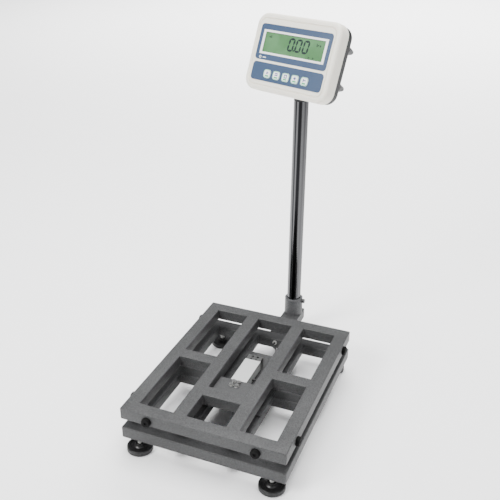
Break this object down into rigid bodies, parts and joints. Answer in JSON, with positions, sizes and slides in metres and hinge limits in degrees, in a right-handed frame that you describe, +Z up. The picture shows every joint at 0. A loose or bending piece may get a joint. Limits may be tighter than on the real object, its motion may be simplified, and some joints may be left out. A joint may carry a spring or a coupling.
{
  "type": "platform shipping scale",
  "caption": "Open-frame platform scale: tubular weighing frame over a matching base on levelling feet, with a tilting keypad display head on a rear column.",
  "frame": {"origin": "on the floor under the middle of the whole outline, left to right and front to back", "axes": "+Z up, +X to the right of someone reading the display, +Y from the front edge of the platform towards the column"},
  "size_m": [0.411, 0.718, 0.8828],
  "materials": {
    "frame_paint": "textured grey powder coat",
    "bumper_rubber": "matt black rubber",
    "zinc_steel": "bright zinc plating",
    "cell_alloy": "milled aluminium",
    "cell_cover": "pale grey sealing compound",
    "cable_jacket": "black jacket",
    "grommet_rubber": "grey rubber",
    "black_plastic": "fine textured black plastic",
    "black_steel": "satin black paint",
    "socket_paint": "grey powder coat",
    "column_chrome": "polished chrome",
    "foot_black": "satin black nylon on a plated stud",
    "ivory_plastic": "fine textured ivory ABS",
    "dark_plastic": "fine textured dark grey ABS",
    "blue_film": "blue polyester film, fine matt",
    "white_plastic": "satin white",
    "clear_window": "clear acrylic",
    "lcd_green": "green liquid-crystal display",
    "board_green": "green solder mask",
    "battery_case": "black battery case",
    "key_white": "satin white"
  },
  "bodies": {
    "base": {"base_rail_left": "frame_paint", "base_inner_left": "frame_paint", "base_cross_left": "frame_paint", "base_rail_right": "frame_paint", "base_inner_right": "frame_paint", "base_cross_right": "frame_paint", "base_rail_front": "frame_paint", "base_rail_back": "frame_paint", "load_cell": "cell_alloy", "cell_cover": "cell_cover", "cell_spacer": "cell_alloy", "floor_plate": "frame_paint", "cell_lower_screws": "zinc_steel", "cell_cable": "cable_jacket", "cable_grommet": "grommet_rubber", "foot_nuts": "zinc_steel", "column_bracket": "frame_paint", "bracket_cap": "black_plastic", "column_socket": "socket_paint", "socket_screw": "black_steel", "column": "column_chrome", "column_plug": "black_plastic"},
    "platform": {"top_rail_left": "frame_paint", "top_inner_left": "frame_paint", "top_cross_left": "frame_paint", "top_rail_right": "frame_paint", "top_inner_right": "frame_paint", "top_cross_right": "frame_paint", "top_rail_front": "frame_paint", "top_rail_back": "frame_paint", "top_cross_front": "frame_paint", "bumpers": "bumper_rubber", "load_plate": "frame_paint", "cell_upper_bolts": "zinc_steel"},
    "yoke": {"swivel_yoke": "black_steel", "tilt_bolt": "zinc_steel"},
    "knob": {"tilt_knob": "black_plastic"},
    "head": {"front_shell": "ivory_plastic", "rear_shell": "dark_plastic", "rear_posts": "dark_plastic", "case_screws": "zinc_steel", "cable_gland": "black_plastic", "head_lug": "black_steel", "display_panel": "blue_film", "keypad_panel": "blue_film", "lcd_bezel": "white_plastic", "lcd_window": "clear_window", "lcd_glass": "lcd_green", "circuit_boards": "board_green", "board_posts": "dark_plastic", "battery": "battery_case"},
    "key_1": {"key_1": "key_white"},
    "key_2": {"key_2": "key_white"},
    "key_3": {"key_3": "key_white"},
    "key_4": {"key_4": "key_white"},
    "key_5": {"key_5": "key_white"},
    "foot_front_left": {"foot_front_left": "foot_black"},
    "foot_back_left": {"foot_back_left": "foot_black"},
    "foot_front_right": {"foot_front_right": "foot_black"},
    "foot_back_right": {"foot_back_right": "foot_black"}
  },
  "joints": [
    {"name": "platform_sink", "type": "slide", "parent": "base", "child": "platform", "axis": [0, 0, 1], "range_m": [-0.0005, 0], "stiffness_N_per_m": 300000, "springref_m": 0.0005, "deforming": ["load_cell"]},
    {"name": "column_swivel", "type": "hinge", "parent": "base", "child": "yoke", "pos_m": [0, 0.27654, 0.684], "axis": [0, 0, 1], "range_deg": [-69.7, 110.3]},
    {"name": "head_tilt", "type": "hinge", "parent": "yoke", "child": "head", "pos_m": [0, 0.27654, 0.73], "axis": [0.9379, -0.3469, 0], "range_deg": [-30, 8]},
    {"name": "knob_spin", "type": "hinge", "parent": "yoke", "child": "knob", "pos_m": [0.02157, 0.26856, 0.73], "axis": [0.9379, -0.3469, 0], "range_deg": [-180, 180]},
    {"name": "key_1_press", "type": "slide", "parent": "head", "child": "key_1", "axis": [0.3262, 0.8819, -0.3404], "range_m": [0, 0.0005], "stiffness_N_per_m": 1500, "springref_m": -0.0004},
    {"name": "key_2_press", "type": "slide", "parent": "head", "child": "key_2", "axis": [0.3262, 0.8819, -0.3404], "range_m": [0, 0.0005], "stiffness_N_per_m": 1500, "springref_m": -0.0004},
    {"name": "key_3_press", "type": "slide", "parent": "head", "child": "key_3", "axis": [0.3262, 0.8819, -0.3404], "range_m": [0, 0.0005], "stiffness_N_per_m": 1500, "springref_m": -0.0004},
    {"name": "key_4_press", "type": "slide", "parent": "head", "child": "key_4", "axis": [0.3262, 0.8819, -0.3404], "range_m": [0, 0.0005], "stiffness_N_per_m": 1500, "springref_m": -0.0004},
    {"name": "key_5_press", "type": "slide", "parent": "head", "child": "key_5", "axis": [0.3262, 0.8819, -0.3404], "range_m": [0, 0.0005], "stiffness_N_per_m": 1500, "springref_m": -0.0004},
    {"name": "foot_front_left_level", "type": "slide", "parent": "base", "child": "foot_front_left", "axis": [0, 0, 1], "range_m": [-0.008, 0.006]},
    {"name": "foot_back_left_level", "type": "slide", "parent": "base", "child": "foot_back_left", "axis": [0, 0, 1], "range_m": [-0.008, 0.006]},
    {"name": "foot_front_right_level", "type": "slide", "parent": "base", "child": "foot_front_right", "axis": [0, 0, 1], "range_m": [-0.008, 0.006]},
    {"name": "foot_back_right_level", "type": "slide", "parent": "base", "child": "foot_back_right", "axis": [0, 0, 1], "range_m": [-0.008, 0.006]}
  ]
}
